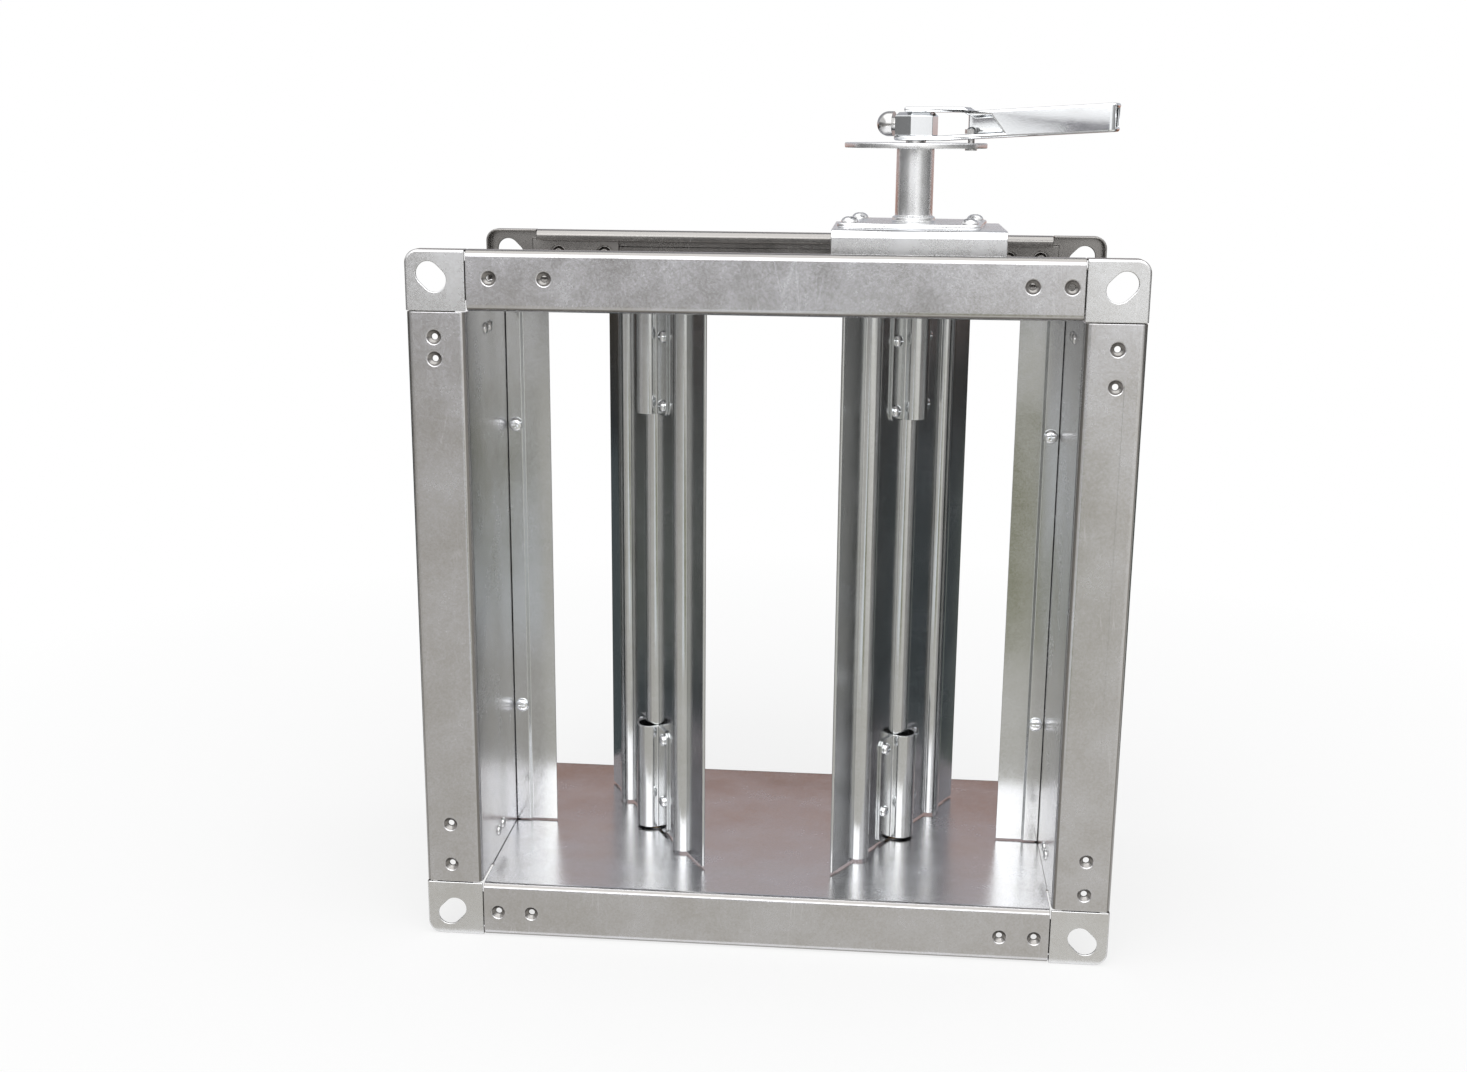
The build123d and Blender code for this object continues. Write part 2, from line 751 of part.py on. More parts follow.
for side_name, side in (("left", -1), ("right", 1)):
    blade = Blade(side)
    pieces = {
        "blade": make_blade(blade),
        "upper_shaft": make_shaft(blade.x, strap_inner_high, shaft_tops[side_name]),
        "lower_shaft": make_shaft(blade.x, shaft_foot, strap_inner_low),
        "upper_front_strap": make_strap(blade, 1, front_arch, strap_arch_lift, -blade_sheet, -1),
        "lower_front_strap": make_strap(blade, -1, front_arch, strap_arch_lift, -blade_sheet, -1),
        "upper_back_strap": make_strap(blade, 1, rib_inner, 0, 0, 1),
        "lower_back_strap": make_strap(blade, -1, rib_inner, 0, 0, 1),
        "strap_screws": make_strap_screws(blade),
        "strap_nuts": make_strap_nuts(blade),
        "upper_bush": make_bush(side, 1),
        "lower_bush": make_bush(side, -1),
        "crank": make_crank(blade),
        "crank_pin": make_crank_pin(blade),
        "shaft_clip": make_clip(blade.x),
    }
    for piece_name, piece in pieces.items():
        piece.part.label = f"{side_name}_{piece_name}"
        export_step(piece.part, f"parts/{piece.part.label}.step")

# Link bar: a straight middle in the guide, and a slotted plate beside each shaft
plate_inner = bush_flange_radius + bar_clearance
plate_outer = crank_radius + pin_radius + bar_slot_clearance + bar_edge
slot_width = 2 * (pin_radius + bar_slot_clearance)
pin_near = crank_radius * cos(radians((swing_open - swing_closed) / 2))
slot_run = crank_radius - pin_near + slot_width
slot_middle = (crank_radius + pin_near) / 2
right_slot_x = blade_offset + bar_rest
left_slot_x = -blade_offset + bar_rest
plate_end = slot_width / 2 + bar_edge
right_riser_x = blade_offset - bush_flange_radius - bar_to_closed - bar_clearance
left_riser_x = -blade_offset + bush_flange_radius + bar_to_open + bar_clearance

with BuildPart() as link_bar:
    with BuildSketch(Plane.XY.offset(bar_z)) as bar_outline:
        with Locations((left_riser_x, 0)):
            Rectangle(right_riser_x - left_riser_x, bar_width, align=(Align.MIN, Align.CENTER))
        with Locations((right_riser_x, -bar_width / 2)):
            Rectangle(bar_riser_width, bar_width / 2 + plate_outer, align=(Align.MAX, Align.MIN))
        with Locations((right_riser_x - bar_riser_width, plate_outer)):
            Rectangle(
                right_slot_x + plate_end - right_riser_x + bar_riser_width,
                plate_outer - plate_inner,
                align=(Align.MIN, Align.MAX),
            )
        with Locations((left_riser_x, bar_width / 2)):
            Rectangle(bar_riser_width, bar_width / 2 + plate_outer, align=(Align.MIN, Align.MAX))
        with Locations((left_riser_x + bar_riser_width, -plate_outer)):
            Rectangle(
                left_riser_x + bar_riser_width - left_slot_x + plate_end,
                plate_outer - plate_inner,
                align=(Align.MAX, Align.MIN),
            )
        fillet(bar_outline.vertices(), bar_corner_radius)
        with Locations((right_slot_x, slot_middle), (left_slot_x, -slot_middle)):
            SlotOverall(slot_run, slot_width, rotation=90, mode=Mode.SUBTRACT)
    extrude(amount=bar_thickness)
link_bar.part.label = "link_bar"
export_step(link_bar.part, "parts/link_bar.step")

with BuildPart() as link_guide:
    guide_side = bar_width / 2 + guide_slip
    guide_under = bar_z + bar_thickness + guide_slip
    with BuildSketch(Plane.YZ):
        with BuildLine():
            Polyline(
                (-guide_side - guide_sheet - guide_foot, web_top),
                (-guide_side, web_top),
                (-guide_side, guide_under),
                (guide_side, guide_under),
                (guide_side, web_top),
                (guide_side + guide_sheet + guide_foot, web_top),
            )
            offset(amount=guide_sheet, side=Side.LEFT)
        make_face()
    extrude(amount=guide_half_length, both=True)
    with BuildSketch(Plane.XY.offset(web_top)):
        with Locations(*web_rivet_places[:2]):
            Circle(rivet_hole)
    extrude(amount=2 * guide_sheet, mode=Mode.SUBTRACT)
link_guide.part.label = "link_guide"
export_step(link_guide.part, "parts/link_guide.step")

# Bridge bracket: feet on the top panel, walls in front of and behind the crank, a bridge above
standoff_plane = Plane(origin=(blade_offset, 0, standoff_z), x_dir=flat_direction(standoff_turn))
standoff_rivet_places = [
    (side_x * standoff_rivet_x, side_y * standoff_rivet_y) for side_x in (-1, 1) for side_y in (-1, 1)
]
with BuildPart() as handle_bracket:
    bracket_under = bracket_top - guide_sheet
    foot_end = bracket_half_depth + guide_sheet + bracket_foot
    with BuildSketch(Plane.YZ.offset(blade_offset + bracket_shift)):
        with BuildLine():
            FilletPolyline(
                (-foot_end, web_top),
                (-bracket_half_depth, web_top),
                (-bracket_half_depth, bracket_under),
                (bracket_half_depth, bracket_under),
                (bracket_half_depth, web_top),
                (foot_end, web_top),
                radius=bracket_bend_radius,
            )
            offset(amount=guide_sheet, side=Side.LEFT)
        make_face()
    extrude(amount=bracket_half_length, both=True)
    with BuildSketch(Plane.XY.offset(web_top)):
        with Locations(*web_rivet_places[2:]):
            Circle(rivet_hole)
    extrude(amount=2 * guide_sheet, mode=Mode.SUBTRACT)
    with BuildSketch(standoff_plane):
        Circle(bush_radius)
        with Locations(*standoff_rivet_places):
            Circle(rivet_hole)
    extrude(amount=2 * guide_sheet, both=True, mode=Mode.SUBTRACT)
handle_bracket.part.label = "handle_bracket"
export_step(handle_bracket.part, "parts/handle_bracket.step")

web_rivet_planes = [Plane(origin=(x, y, web_top + guide_sheet)) for x, y in web_rivet_places]
web_rivets = make_rivets(web_rivet_planes, guide_sheet + panel_sheet)
web_rivets.part.label = "web_rivets"
export_step(web_rivets.part, "parts/web_rivets.step")

with BuildPart(standoff_plane) as standoff:
    with BuildSketch(standoff_plane):
        RectangleRounded(standoff_plate_length, standoff_plate_width, standoff_plate_radius)
        with Locations(*standoff_rivet_places):
            Circle(rivet_hole, mode=Mode.SUBTRACT)
    extrude(amount=standoff_plate_thickness)
    with Locations((0, 0, standoff_plate_thickness)):
        Cylinder(standoff_collar_radius, standoff_collar_height, align=bottom_middle)
        Cylinder(standoff_radius, standoff_height, align=bottom_middle)
    Cylinder(
        bush_radius + grip_clearance,
        standoff_plate_thickness + standoff_height,
        align=bottom_middle,
        mode=Mode.SUBTRACT,
    )
standoff.part.label = "standoff"
export_step(standoff.part, "parts/standoff.step")

standoff_rivet_planes = [
    Plane(origin=standoff_plane.from_local_coords((x, y, standoff_plate_thickness)))
    for x, y in standoff_rivet_places
]
standoff_grip = standoff_plate_thickness + guide_sheet
standoff_rivets = make_rivets(standoff_rivet_planes, standoff_grip, plate_rivet_head)
standoff_rivets.part.label = "standoff_rivets"
export_step(standoff_rivets.part, "parts/standoff_rivets.step")

with BuildPart(Plane(origin=(blade_offset, 0, quadrant_z))) as standoff_bush:
    Cylinder(bush_radius, standoff_bush_length, align=(Align.CENTER, Align.CENTER, Align.MAX))
    Cylinder(
        bush_bore, standoff_bush_length, align=(Align.CENTER, Align.CENTER, Align.MAX), mode=Mode.SUBTRACT
    )
standoff_bush.part.label = "standoff_bush"
export_step(standoff_bush.part, "parts/standoff_bush.step")

with BuildPart() as quadrant_plate:
    with BuildSketch(Plane(origin=(blade_offset, 0, quadrant_z))):
        Circle(quadrant_radius)
        Circle(shaft_radius + quadrant_bore_clearance, mode=Mode.SUBTRACT)
        with BuildLine(mode=Mode.PRIVATE) as lock_path:
            CenterArc(
                (0, 0),
                lock_place,
                lever_angle + swing_closed - quadrant_slot_margin,
                swing_open - swing_closed + 2 * quadrant_slot_margin,
            )
        SlotArc(lock_path.wire(), 2 * (lock_radius + lock_clearance), mode=Mode.SUBTRACT)
    extrude(amount=quadrant_thickness)
quadrant_plate.part.label = "quadrant_plate"
export_step(quadrant_plate.part, "parts/quadrant_plate.step")

# Hand lever: a base tongue under the hub, a top tongue over it, and a box grip that tilts upward
lever_plan = Plane(origin=(blade_offset, 0, lever_z), x_dir=flat_direction(lever_angle))
lever_side = Plane(
    origin=(blade_offset, 0, lever_z),
    x_dir=flat_direction(lever_angle),
    z_dir=flat_direction(lever_angle - 90),
)


def rise(place):
    """Height of the underside of the lever above its flat end."""
    return max(0, place - lever_bend_place) * tan(radians(lever_tilt))


grip_end = rise(lever_length)
step_end = lever_top_step + lever_step_run
near_wall_foot = lever_near_wall_start + lever_near_wall_slant
top_skin = (
    (lever_length, grip_end + lever_grip_height),
    (step_end, rise(step_end) + lever_grip_height),
    (lever_top_step, lever_top_z + lever_sheet),
)

with BuildPart() as lever:
    with BuildSketch(lever_side):
        with BuildLine():
            Polyline(
                (-lever_tongue_radius, 0),
                (lever_bend_place, 0),
                (lever_length, grip_end),
                (lever_length, grip_end + lever_sheet),
                (lever_bend_place, lever_sheet),
                (-lever_tongue_radius, lever_sheet),
                close=True,
            )
        make_face()
    extrude(amount=lever_tongue_radius, both=True)
    with BuildSketch(lever_side):
        with BuildLine():
            Polyline(
                *top_skin,
                (lever_top_start, lever_top_z + lever_sheet),
                (lever_top_start, lever_top_z),
                (lever_top_step, lever_top_z),
                (step_end, rise(step_end) + lever_grip_height - lever_sheet),
                (lever_length, grip_end + lever_grip_height - lever_sheet),
                close=True,
            )
        make_face()
    extrude(amount=lever_tongue_radius, both=True)
    with BuildSketch(lever_side.offset(-lever_half_width)):
        with BuildLine():
            Polyline(
                *top_skin,
                (lever_far_wall_start, lever_top_z + lever_sheet),
                (lever_far_wall_start, rise(lever_far_wall_start)),
                (lever_length, grip_end),
                close=True,
            )
        make_face()
    extrude(amount=lever_sheet)
    with BuildSketch(lever_side.offset(lever_half_width - lever_sheet)):
        with BuildLine():
            Polyline(
                (lever_length, grip_end + lever_grip_height),
                (lever_near_wall_start, rise(lever_near_wall_start) + lever_grip_height),
                (near_wall_foot, rise(near_wall_foot)),
                (lever_length, grip_end),
                close=True,
            )
        make_face()
    extrude(amount=lever_sheet)
    with BuildSketch(lever_plan) as plan_outline:
        Rectangle(lever_length, 2 * lever_half_width, align=(Align.MIN, Align.CENTER))
        far_corners = plan_outline.vertices().filter_by(lambda v: v.X > lever_half_width)
        fillet(far_corners, lever_end_radius)
        Circle(lever_tongue_radius)
    extrude(amount=lever_top_z + grip_end + lever_grip_height, mode=Mode.INTERSECT)
    with BuildSketch(lever_plan):
        Circle(shaft_radius + shaft_seat)
        with Locations((lock_place, 0)):
            Circle(lock_radius + lock_clearance)
    extrude(amount=lever_sheet + hub_height / 2, mode=Mode.SUBTRACT)
lever.part.label = "lever"
export_step(lever.part, "parts/lever.step")

hub_plane = Plane(origin=(blade_offset, 0, hub_z), x_dir=flat_direction(lever_angle))
clamp_z = hub_z + hub_height / 2
clamp_plane = Plane(
    origin=(blade_offset, 0, clamp_z), x_dir=(0, 0, 1), z_dir=flat_direction(lever_angle + 180)
)
with BuildPart() as lever_hub:
    with BuildSketch(hub_plane):
        RegularPolygon(hub_flats / 2, 6, major_radius=False, rotation=30)
        Circle(shaft_radius + grip_clearance, mode=Mode.SUBTRACT)
    extrude(amount=hub_height)
    chamfer(lever_hub.faces().sort_by(Axis.Z)[-1].outer_wire().edges(), hub_chamfer)
    with BuildSketch(clamp_plane):
        Circle(clamp_screw_radius + grip_clearance)
    extrude(amount=hub_flats, mode=Mode.SUBTRACT)
lever_hub.part.label = "lever_hub"
export_step(lever_hub.part, "parts/lever_hub.step")

clamp_section = Plane(
    origin=(blade_offset, 0, clamp_z), x_dir=(0, 0, 1), z_dir=flat_direction(lever_angle - 90)
)
head_start = lever_tongue_radius + clamp_head_gap
head_end = head_start + clamp_head_rim + clamp_head_radius
with BuildPart() as clamp_screw:
    with BuildSketch(clamp_section):
        with BuildLine():
            shank_start = shaft_radius + grip_clearance
            Polyline(
                (0, head_end),
                (0, shank_start),
                (clamp_screw_radius, shank_start),
                (clamp_screw_radius, head_start),
                (clamp_head_radius, head_start),
                (clamp_head_radius, head_start + clamp_head_rim),
            )
            CenterArc((0, head_start + clamp_head_rim), clamp_head_radius, 0, 90)
        make_face()
    revolve(axis=Axis(clamp_plane.origin, clamp_plane.z_dir))
clamp_screw.part.label = "clamp_screw"
export_step(clamp_screw.part, "parts/clamp_screw.step")

lock_axis = lever_plan.from_local_coords((lock_place, 0, 0))
lock_nut_corner = lock_nut_flats / 2 / cos(pi / 6)
lock_seat = lever_z + rise(lock_place + lock_nut_corner) + lever_sheet
lock_head_z = quadrant_z - lock_head_gap
with BuildPart(Plane(origin=(lock_axis.X, lock_axis.Y, lock_head_z))) as lock_bolt:
    Cylinder(lock_head_radius, lock_head_height, align=(Align.CENTER, Align.CENTER, Align.MAX))
    Cylinder(lock_radius, lock_seat + lock_nut_height - lock_head_z, align=bottom_middle)
lock_bolt.part.label = "lock_bolt"
export_step(lock_bolt.part, "parts/lock_bolt.step")

with BuildPart(Plane(origin=(lock_axis.X, lock_axis.Y, lock_seat))) as lock_nut:
    with BuildSketch(Plane(origin=(lock_axis.X, lock_axis.Y, lock_seat))):
        RegularPolygon(lock_nut_flats / 2, 6, major_radius=False, rotation=lever_angle)
    extrude(amount=lock_nut_height)
    with Locations((0, 0, lock_nut_height)):
        Sphere(lock_dome_radius, arc_size1=0)
    Cylinder(lock_radius + grip_clearance, lock_nut_height, align=bottom_middle, mode=Mode.SUBTRACT)
lock_nut.part.label = "lock_nut"
export_step(lock_nut.part, "parts/lock_nut.step")
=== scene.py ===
# %% [markdown]
# # An opposed blade damper in galvanised steel
# A damper of this kind sits in a square air duct. Two upright blades turn against each other to
# open or close the passage, and a hand lever on the top locks them. All the shapes come from a
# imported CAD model, in metres. This lesson dresses them: a camera, a plain studio, the finishes of
# zinc and steel, soft edges, and small fasteners that are modelled by hand.

# %% Load the frame
import json
from math import cos, pi, radians, sin

import bpy
from mathutils import Matrix, Vector

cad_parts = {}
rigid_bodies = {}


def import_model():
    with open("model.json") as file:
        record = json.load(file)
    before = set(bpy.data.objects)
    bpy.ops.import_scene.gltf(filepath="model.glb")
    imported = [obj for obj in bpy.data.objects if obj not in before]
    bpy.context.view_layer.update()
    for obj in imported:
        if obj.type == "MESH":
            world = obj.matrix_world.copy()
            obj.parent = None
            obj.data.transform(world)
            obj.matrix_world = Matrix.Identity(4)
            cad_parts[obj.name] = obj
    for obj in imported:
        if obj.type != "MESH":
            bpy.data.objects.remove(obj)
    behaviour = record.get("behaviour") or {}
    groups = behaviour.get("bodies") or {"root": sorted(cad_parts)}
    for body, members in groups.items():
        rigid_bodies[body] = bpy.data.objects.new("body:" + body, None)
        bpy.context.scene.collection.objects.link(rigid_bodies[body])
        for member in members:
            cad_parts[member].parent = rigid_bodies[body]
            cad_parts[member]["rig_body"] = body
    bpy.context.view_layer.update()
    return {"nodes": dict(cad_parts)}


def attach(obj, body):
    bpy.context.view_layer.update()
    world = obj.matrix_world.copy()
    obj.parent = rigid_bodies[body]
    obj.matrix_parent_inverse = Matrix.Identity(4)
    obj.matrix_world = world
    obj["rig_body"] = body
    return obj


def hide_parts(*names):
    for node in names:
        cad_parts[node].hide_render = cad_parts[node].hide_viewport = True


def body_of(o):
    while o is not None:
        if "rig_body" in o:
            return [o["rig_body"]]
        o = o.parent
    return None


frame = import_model()
nodes = frame["nodes"]

# %% [markdown]
# ## Camera
# The photograph was taken from about a metre in front, at the height of the lever, looking down a
# little. A camera can be aimed with a constraint, but here its three axes are built from a yaw, a
# pitch and a roll, so that the roll of a hand-held photograph is kept.

# %% Camera at the photograph's viewpoint
image_width = 1467
focal_pixels = 1676.9
camera_place = Vector((0.0659, -1.0502, 0.4931))
yaw, pitch, roll = 0.0903, 0.2385, 0.0079

forward = Vector((-sin(yaw) * cos(pitch), cos(yaw) * cos(pitch), -sin(pitch)))
level_right = Vector((cos(yaw), sin(yaw), 0))
level_up = level_right.cross(forward)
right = level_right * cos(roll) + level_up * sin(roll)
up = level_up * cos(roll) - level_right * sin(roll)

bpy.ops.object.select_all(action="DESELECT")
bpy.ops.object.camera_add(location=camera_place)
camera = bpy.context.object
camera.name = "photo_camera"
camera.data.sensor_fit = "HORIZONTAL"
camera.data.sensor_width = 36
camera.data.lens = focal_pixels / image_width * camera.data.sensor_width
camera.matrix_world = Matrix.Translation(camera_place) @ Matrix((right, up, -forward)).transposed().to_4x4()
bpy.context.scene.camera = camera
bpy.context.scene.view_settings.view_transform = "Standard"
print("camera lens:", round(camera.data.lens, 2), "mm")

# %% [markdown]
# ## Node helpers
# The floor, the boards and the finishes are all built from nodes. A few short helpers keep those
# cells readable: one adds a node, one joins two values, one stretches a value, one blends colours.

# %% Node helpers
def new_node(tree, kind, **settings):
    """Add a node and set its plain attributes."""
    node = tree.nodes.new(kind)
    for key, value in settings.items():
        setattr(node, key, value)
    return node


def combine(tree, operation, first, second):
    """Join two values, or a value and a number, with one Math node."""
    node = new_node(tree, "ShaderNodeMath", operation=operation)
    for socket, value in zip(node.inputs, (first, second)):
        if isinstance(value, (int, float)):
            socket.default_value = value
        else:
            tree.links.new(value, socket)
    return node.outputs[0]


def ramp_between(tree, value, low, high):
    """Stretch a value so that low becomes 0 and high becomes 1."""
    spread = new_node(tree, "ShaderNodeMapRange")
    spread.inputs["From Min"].default_value = low
    spread.inputs["From Max"].default_value = high
    tree.links.new(value, spread.inputs["Value"])
    return spread.outputs[0]


def mix_colours(tree, factor, first, second):
    """Blend two colours, each a colour or a socket, by a factor."""
    mix = new_node(tree, "ShaderNodeMix", data_type="RGBA")
    tree.links.new(factor, mix.inputs["Factor"])
    for socket, colour in ((mix.inputs[6], first), (mix.inputs[7], second)):
        if isinstance(colour, tuple):
            socket.default_value = (*colour, 1)
        else:
            tree.links.new(colour, socket)
    return mix.outputs[2]


def mix_shaders(tree, factor, first, second):
    """Blend two shaders by a factor."""
    mix = new_node(tree, "ShaderNodeMixShader")
    for socket, value in zip(mix.inputs, (factor, first, second)):
        tree.links.new(value, socket)
    return mix.outputs[0]


def empty_material(name):
    """Material with an output node alone; returns it, its tree and the surface socket."""
    material = bpy.data.materials.new(name)
    material.use_nodes = True
    material.node_tree.nodes.clear()
    end = new_node(material.node_tree, "ShaderNodeOutputMaterial")
    return material, material.node_tree, end.inputs["Surface"]


def plain_light(tree, kind, colour, strength):
    """Background or emission node of one colour."""
    node = new_node(tree, kind)
    node.inputs["Color"].default_value = (*colour, 1)
    node.inputs["Strength"].default_value = strength
    return node.outputs[0]


print("node helpers ready")

# %% [markdown]
# ## Studio
# Polished zinc has almost no colour of its own. What we see on it is the room, so the room is part
# of the finish: a pale floor, a wide soft lamp overhead that draws the white lines along every
# fold, a softer lamp beside the camera, and darker boards round the damper. Photographers put such
# boards beside bright metal to give it dark lines. The boards are seen only in reflections.

# %% Pale floor and white surroundings
def seen_directly(tree):
    """1 for the rays that look: camera, mirror and glass rays."""
    look = new_node(tree, "ShaderNodeLightPath")
    mirror, glass = look.outputs["Is Glossy Ray"], look.outputs["Is Transmission Ray"]
    mirror_or_glass = combine(tree, "MAXIMUM", mirror, glass)
    return combine(tree, "MAXIMUM", look.outputs["Is Camera Ray"], mirror_or_glass)


world = bpy.context.scene.world or bpy.data.worlds.new("studio")
bpy.context.scene.world = world
world.use_nodes = True
sky = world.node_tree
sky.nodes.clear()
fill = plain_light(sky, "ShaderNodeBackground", (0.97, 0.98, 1.0), 0.55)
white = plain_light(sky, "ShaderNodeBackground", (1, 1, 1), 1.0)
world_end = new_node(sky, "ShaderNodeOutputWorld")
sky.links.new(mix_shaders(sky, seen_directly(sky), fill, white), world_end.inputs["Surface"])

floor_size = 8
shadow_reach = 0.3
white_reach = 0.9
least_glow = 0.75
bpy.ops.object.select_all(action="DESELECT")
bpy.ops.mesh.primitive_plane_add(size=floor_size, location=(0, 0, 0))
floor = bpy.context.object
floor.name = "studio_floor"
pale, tree, surface = empty_material("pale floor")
matt = new_node(tree, "ShaderNodeBsdfDiffuse")
matt.inputs["Color"].default_value = (0.86, 0.86, 0.85, 1)
glow = plain_light(tree, "ShaderNodeEmission", (1, 1, 1), 1.0)
from_middle = new_node(tree, "ShaderNodeVectorMath", operation="LENGTH")
tree.links.new(new_node(tree, "ShaderNodeTexCoord").outputs["Object"], from_middle.inputs[0])
fade = new_node(tree, "ShaderNodeMapRange")
fade.inputs["From Min"].default_value = shadow_reach
fade.inputs["From Max"].default_value = white_reach
fade.inputs["To Min"].default_value = least_glow
tree.links.new(from_middle.outputs["Value"], fade.inputs["Value"])
half_glow = mix_shaders(tree, fade.outputs[0], matt.outputs[0], glow)
tree.links.new(mix_shaders(tree, seen_directly(tree), matt.outputs[0], half_glow), surface)
floor.data.materials.append(pale)
print("floor and surroundings made")

# %% Soft lamps
aim = Vector((0.0, 0.0, 0.22))


def soft_lamp(name, place, width, depth, brightness):
    """Area lamp that looks at the damper; brightness is what its face shows in a mirror."""
    bpy.ops.object.light_add(type="AREA", location=place)
    lamp = bpy.context.object
    lamp.name = name
    lamp.data.shape = "RECTANGLE"
    lamp.data.size = width
    lamp.data.size_y = depth
    lamp.data.energy = brightness * pi * width * depth
    lamp.rotation_mode = "QUATERNION"
    lamp.rotation_quaternion = (aim - Vector(place)).to_track_quat("-Z", "Y")
    return lamp


overhead = soft_lamp("overhead_lamp", (0.1, -0.6, 1.9), 3.0, 2.6, 1.25)
front = soft_lamp("front_lamp", (-0.3, -2.5, 1.3), 2.4, 1.2, 1.6)
print("lamps:", overhead.name, front.name)

# %% [markdown]
# ## Boards
# Each board is a thin box with a painted gradient. The rear boards are what the inside of the duct
# and its floor show: dark low down, brown in the middle, pale above. The front boards lie on the
# floor and shade the rails and the stop strips. The side boards give round pieces a dark rim. A
# board that only mirror rays can see casts no shadow and never shows in the picture itself.

# %% Boards for the reflections
board_thickness = 0.01


def board(name, low, high, start, end, along, turn=0.0):
    """Board between two corners, shaded from start to end along X, Y or Z; seen by mirror rays alone."""
    middle = (Vector(low) + Vector(high)) / 2
    size = Vector(high) - Vector(low)
    bpy.ops.object.select_all(action="DESELECT")
    bpy.ops.mesh.primitive_cube_add(size=1, location=middle)
    piece = bpy.context.object
    piece.name = name
    piece.scale = [max(length, board_thickness) for length in size]
    piece.rotation_euler.z = turn
    paint, tree, surface = empty_material(name + " paint")
    parts = new_node(tree, "ShaderNodeSeparateXYZ")
    tree.links.new(new_node(tree, "ShaderNodeTexCoord").outputs["Object"], parts.inputs[0])
    share = ramp_between(tree, parts.outputs[along], -0.5, 0.5)
    dull = new_node(tree, "ShaderNodeEmission")
    tree.links.new(mix_colours(tree, share, start, end), dull.inputs["Color"])
    tree.links.new(dull.outputs[0], surface)
    piece.data.materials.append(paint)
    piece.visible_camera = False
    piece.visible_diffuse = False
    piece.visible_shadow = False
    piece.visible_transmission = False
    return piece


rear, front_end, beside = 1.0, -3.5, 2.4
on_floor, above_floor = 0.004, 0.012
rear_left, rear_right = (0.07, 0.085, 0.09), (0.15, 0.165, 0.15)
board_rows = (
    ("low_rear", (-2.2, rear, 0.0), (2.2, rear, 0.36), (0.03, 0.034, 0.038), (0.05, 0.04, 0.028), "Z"),
    ("middle_rear", (-2.2, rear, 0.36), (2.2, rear, 0.56), (0.46, 0.20, 0.12), (0.66, 0.63, 0.64), "Z"),
    ("high_rear", (-2.2, rear, 0.56), (2.2, rear, 2.2), (0.52, 0.53, 0.57), (0.40, 0.40, 0.42), "Z"),
    ("rear_floor_left", (-2.2, 0.11, on_floor), (0.08, rear, on_floor), rear_left, rear_left, "X"),
    ("rear_floor_right", (0.08, 0.11, on_floor), (2.2, rear, on_floor), rear_right, rear_right, "X"),
    (
        "front_floor", (-2.5, front_end, on_floor), (2.5, -0.11, on_floor),
        (0.24, 0.23, 0.21), (0.92, 0.90, 0.85), "X",
    ),
    (
        "front_floor_middle", (-0.14, -2.2, above_floor), (0.05, -0.5, above_floor),
        (0.86, 0.90, 0.96), (0.84, 0.87, 0.90), "Y",
    ),
    (
        "front_floor_strip", (0.07, -1.95, above_floor), (0.285, -0.5, above_floor),
        (0.22, 0.22, 0.15), (0.30, 0.30, 0.21), "Y", 0.11,
    ),
    (
        "front_wall", (-2.5, front_end, 0.0), (0.45, front_end, 0.40),
        (0.26, 0.25, 0.26), (0.12, 0.125, 0.15), "X",
    ),
    ("left_side", (-beside, -3.4, 0.0), (-beside, 0.9, 0.9), (0.42, 0.42, 0.42), (0.14, 0.14, 0.14), "Y"),
    ("right_side", (beside, -3.4, 0.0), (beside, 0.9, 0.9), (0.50, 0.50, 0.50), (0.12, 0.12, 0.12), "Y"),
)
boards = [board(*row) for row in board_rows]
print("boards:", [piece.name for piece in boards])

# %% [markdown]
# ## Finishes
# Hot-dip galvanised sheet shows crystals of zinc a few millimetres across, cloudy stains, and thin
# scratches from handling. Each effect is a small node group that gives a value between 0 and 1, so
# that several finishes can share it. All the patterns read Object coordinates, which for these
# pieces are the true metres of the damper.

# %% Pattern helpers
def pattern_group(name, *outputs):
    """Start a node group whose outputs are plain values; returns the tree, its vector and its end."""
    tree = bpy.data.node_groups.new(name, "ShaderNodeTree")
    for output in outputs:
        tree.interface.new_socket(name=output, in_out="OUTPUT", socket_type="NodeSocketFloat")
    place = new_node(tree, "ShaderNodeTexCoord").outputs["Object"]
    end = new_node(tree, "NodeGroupOutput")
    return tree, place, end


def noise(tree, place, scale, detail=2.0):
    """Noise in cycles per metre."""
    texture = new_node(tree, "ShaderNodeTexNoise")
    texture.inputs["Scale"].default_value = scale
    texture.inputs["Detail"].default_value = detail
    tree.links.new(place, texture.inputs["Vector"])
    return texture.outputs["Fac"]


print("pattern helpers ready")

# %% Crystals and clouds of zinc
crystals_per_metre, clouds_per_metre, grains_per_metre = 230, 30, 900
zinc_bloom, place, end = pattern_group("zinc bloom", "Crystal", "Cloud", "Grain")
cells = new_node(zinc_bloom, "ShaderNodeTexVoronoi")
cells.inputs["Scale"].default_value = crystals_per_metre
zinc_bloom.links.new(place, cells.inputs["Vector"])
split = new_node(zinc_bloom, "ShaderNodeSeparateColor")
zinc_bloom.links.new(cells.outputs["Color"], split.inputs[0])
zinc_bloom.links.new(split.outputs[0], end.inputs["Crystal"])
cloud = ramp_between(zinc_bloom, noise(zinc_bloom, place, clouds_per_metre, detail=3), 0.32, 0.68)
zinc_bloom.links.new(cloud, end.inputs["Cloud"])
grain = ramp_between(zinc_bloom, noise(zinc_bloom, place, grains_per_metre, detail=1), 0.3, 0.7)
zinc_bloom.links.new(grain, end.inputs["Grain"])
print("pattern group:", zinc_bloom.name)

